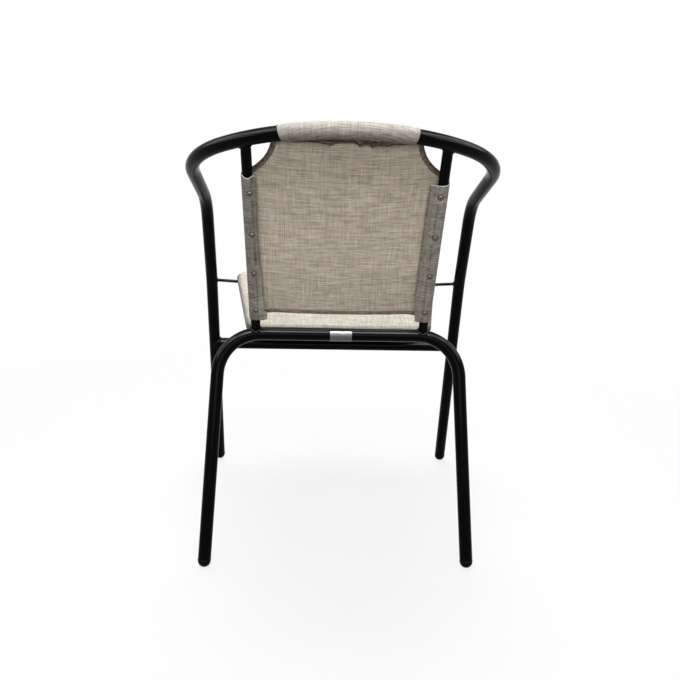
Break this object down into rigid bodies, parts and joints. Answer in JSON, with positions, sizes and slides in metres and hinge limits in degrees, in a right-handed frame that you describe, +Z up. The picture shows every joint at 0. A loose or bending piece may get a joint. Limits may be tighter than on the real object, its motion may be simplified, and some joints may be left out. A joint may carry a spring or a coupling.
{
  "type": "sling patio chair",
  "caption": "Stacking patio armchair of bent round steel tube, with a woven sling back sleeved over the hoop and riveted behind the posts, and a woven sling seat.",
  "frame": {"origin": "on the floor, in the middle of the chair's bounding box", "axes": "+Z up; -Y the way the sitter faces, so +Y is the back; +X the sitter's left"},
  "size_m": [0.5284, 0.5942, 0.7425],
  "materials": {
    "black_paint": "semi-gloss powder coat",
    "black_plastic": "moulded, slightly worn",
    "woven_cloth": "open weave of coated yarn, heathered beige, grey and brown",
    "rivet_metal": "dull, slightly stained",
    "band_film": "pale blank film"
  },
  "bodies": {
    "root": {"arm_and_front_leg_tube": "black_paint", "rear_leg_tube": "black_paint", "front_stretcher": "black_paint", "back_post_left": "black_paint", "back_post_right": "black_paint", "seat_frame_ring": "black_paint", "seat_rod_left": "black_paint", "seat_rod_right": "black_paint", "foot_plug_front_left": "black_plastic", "foot_plug_front_right": "black_plastic", "foot_plug_rear_left": "black_plastic", "foot_plug_rear_right": "black_plastic", "back_sling": "woven_cloth", "seat_sling": "woven_cloth", "back_rivet_left_1": "rivet_metal", "back_rivet_left_2": "rivet_metal", "back_rivet_left_3": "rivet_metal", "back_rivet_left_4": "rivet_metal", "back_rivet_right_1": "rivet_metal", "back_rivet_right_2": "rivet_metal", "back_rivet_right_3": "rivet_metal", "back_rivet_right_4": "rivet_metal", "seat_rivet_left_1": "rivet_metal", "seat_rivet_left_2": "rivet_metal", "seat_rivet_left_3": "rivet_metal", "seat_rivet_left_4": "rivet_metal", "seat_rivet_right_1": "rivet_metal", "seat_rivet_right_2": "rivet_metal", "seat_rivet_right_3": "rivet_metal", "seat_rivet_right_4": "rivet_metal", "crossbar_band": "band_film"}
  },
  "joints": []
}
